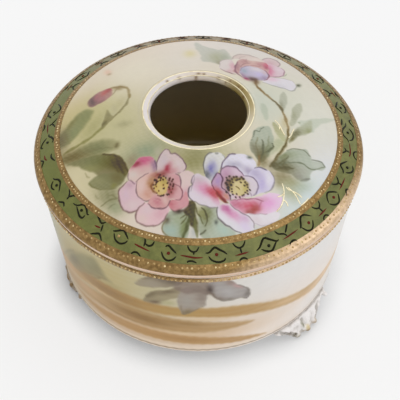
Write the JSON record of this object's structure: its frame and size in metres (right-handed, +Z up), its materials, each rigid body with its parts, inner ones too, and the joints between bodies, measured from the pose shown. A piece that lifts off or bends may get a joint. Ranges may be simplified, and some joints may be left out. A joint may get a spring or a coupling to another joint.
{
  "type": "hair receiver jar",
  "caption": "Round footed porcelain jar with a slightly flared wall and a lift-off domed lid with a round hole in its crown, for hair combings, puffs or powder.",
  "frame": {"origin": "on the jar's axis, at the height of the surface that the feet stand on", "axes": "+Z up along the jar's axis, -Y towards the front, +X to the right seen from the front"},
  "size_m": [0.116, 0.116, 0.0772],
  "materials": {
    "painted_porcelain": "glossy clear glaze over painted porcelain",
    "white_porcelain": "glossy white glaze",
    "gilding": "raised burnished gilding, worn",
    "dark_enamel": "glossy raised enamel",
    "red_enamel": "glossy raised enamel"
  },
  "bodies": {
    "bowl": {"bowl": "painted_porcelain", "foot_front_right": "white_porcelain", "foot_left": "white_porcelain", "foot_back_right": "white_porcelain", "rim_gilding": "gilding"},
    "lid": {"lid": "painted_porcelain", "lid_flange": "white_porcelain", "lid_edge_gilding": "gilding", "border_gilding": "gilding", "lip_gilding": "gilding", "border_lozenges": "dark_enamel", "border_jewels": "red_enamel", "border_forks": "dark_enamel"}
  },
  "joints": [
    {"name": "lid_lift", "type": "slide", "parent": "bowl", "child": "lid", "axis": [0, 0, 1], "range_m": [0, 0.06]}
  ]
}
